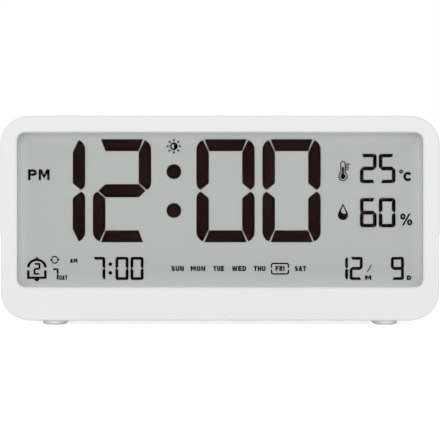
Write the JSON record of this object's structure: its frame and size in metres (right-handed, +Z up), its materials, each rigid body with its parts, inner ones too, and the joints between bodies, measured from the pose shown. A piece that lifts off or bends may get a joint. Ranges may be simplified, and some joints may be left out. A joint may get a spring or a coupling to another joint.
{
  "type": "thermometer hygrometer clock",
  "caption": "Rounded box desk clock with a wide segment display for time, temperature, humidity, alarm and date, a snooze bar on top, rear keys and a battery door.",
  "frame": {"origin": "under the middle of the case, on the surface that the feet stand on", "axes": "+X to the right seen from the front, +Y to the rear, the display looks along -Y, +Z up"},
  "size_m": [0.15, 0.036, 0.0715],
  "materials": {
    "case_plastic": "white moulded ABS with a fine satin texture",
    "key_plastic": "white moulded ABS, slightly greyer than the case",
    "rear_key_plastic": "light grey moulded ABS",
    "clear_acrylic": "clear moulded acrylic, polished",
    "display_glass": "clear float glass",
    "polarising_film": "thin grey polarising film",
    "display_ground": "grey-green reflecting polarising film",
    "segment_black": "switched-on liquid crystal, nearly black",
    "seal_resin": "cured sealing resin",
    "foam_black": "soft black foam",
    "white_film": "white matt film",
    "guide_acrylic": "clear acrylic with a printed dot pattern at the rear",
    "circuit_board": "green solder mask on glass-fibre board",
    "led_yellow": "white LED body with a yellow phosphor",
    "pin_metal": "tinned brass pin",
    "frame_plastic": "white moulded ABS, unseen inside the case",
    "zebra_rubber": "striped silicone contact rubber",
    "chip_resin": "black epoxy drop",
    "can_steel": "plated steel can",
    "capacitor_ceramic": "tan chip ceramic",
    "screw_steel": "zinc-plated steel",
    "switch_plastic": "black moulded switch housing",
    "plunger_plastic": "dark moulded nylon",
    "ribbon_film": "white ribbon cable film",
    "cell_jacket": "plain dark blue shrink sleeve on a steel can",
    "spring_steel": "nickel-plated spring wire",
    "contact_steel": "nickel-plated spring strip",
    "lead_red": "red PVC insulation",
    "lead_black": "black PVC insulation",
    "lead_grey": "grey PVC insulation",
    "sounder_plastic": "black moulded can",
    "sensor_plastic": "white sensor body",
    "bead_glass": "dark coated bead",
    "foot_rubber": "light grey translucent silicone rubber"
  },
  "bodies": {
    "case": {"alarm_digits": "segment_black", "backlight_board": "circuit_board", "backlight_leds": "led_yellow", "backlight_pins": "pin_metal", "battery_cells": "cell_jacket", "battery_contacts": "contact_steel", "battery_springs": "spring_steel", "board_capacitors": "capacitor_ceramic", "board_screws": "screw_steel", "case_screws": "screw_steel", "climate_digits": "segment_black", "date_digits": "segment_black", "diffuser_sheet": "white_film", "display_chip": "chip_resin", "display_frame": "frame_plastic", "display_lens": "clear_acrylic", "dust_gasket": "foam_black", "edge_seal": "seal_resin", "frame_screws": "screw_steel", "front_glass": "display_glass", "front_housing": "case_plastic", "front_polariser": "polarising_film", "humidity_sensor": "sensor_plastic", "key_board": "circuit_board", "key_ribbon": "ribbon_film", "key_switches": "switch_plastic", "light_guide": "guide_acrylic", "main_board": "circuit_board", "negative_lead": "lead_black", "positive_lead": "lead_red", "rear_board_screws": "screw_steel", "rear_cover": "case_plastic", "rear_glass": "display_glass", "rear_polariser": "display_ground", "reflector_sheet": "white_film", "rubber_feet": "foot_rubber", "sensor_board": "circuit_board", "sensor_leads": "lead_grey", "snooze_switch": "switch_plastic", "sounder": "sounder_plastic", "sounder_leads": "lead_grey", "thermistor": "bead_glass", "time_digits": "segment_black", "watch_crystal": "can_steel", "zebra_strip": "zebra_rubber"},
    "snooze_button": {"snooze_key": "key_plastic", "snooze_plunger": "plunger_plastic"},
    "mode_button": {"mode_key": "rear_key_plastic", "mode_plunger": "plunger_plastic"},
    "up_button": {"up_key": "rear_key_plastic", "up_plunger": "plunger_plastic"},
    "down_button": {"down_key": "rear_key_plastic", "down_plunger": "plunger_plastic"},
    "alarm_button": {"alarm_key": "rear_key_plastic", "alarm_plunger": "plunger_plastic"},
    "unit_button": {"unit_key": "rear_key_plastic", "unit_plunger": "plunger_plastic"},
    "battery_lid": {"battery_door": "case_plastic"}
  },
  "joints": [
    {"name": "snooze_press", "type": "slide", "parent": "case", "child": "snooze_button", "axis": [0, 0, -1], "range_m": [0, 0.0005], "stiffness_N_per_m": 1500},
    {"name": "mode_press", "type": "slide", "parent": "case", "child": "mode_button", "axis": [0, -1, 0], "range_m": [0, 0.0003], "stiffness_N_per_m": 1500},
    {"name": "up_press", "type": "slide", "parent": "case", "child": "up_button", "axis": [0, -1, 0], "range_m": [0, 0.0003], "stiffness_N_per_m": 1500},
    {"name": "down_press", "type": "slide", "parent": "case", "child": "down_button", "axis": [0, -1, 0], "range_m": [0, 0.0003], "stiffness_N_per_m": 1500},
    {"name": "alarm_press", "type": "slide", "parent": "case", "child": "alarm_button", "axis": [0, -1, 0], "range_m": [0, 0.0003], "stiffness_N_per_m": 1500},
    {"name": "unit_press", "type": "slide", "parent": "case", "child": "unit_button", "axis": [0, -1, 0], "range_m": [0, 0.0003], "stiffness_N_per_m": 1500},
    {"name": "door_swing", "type": "hinge", "parent": "case", "child": "battery_lid", "pos_m": [0, 0.018, 0.0103], "axis": [-1, 0, 0], "range_deg": [0, 85]}
  ]
}
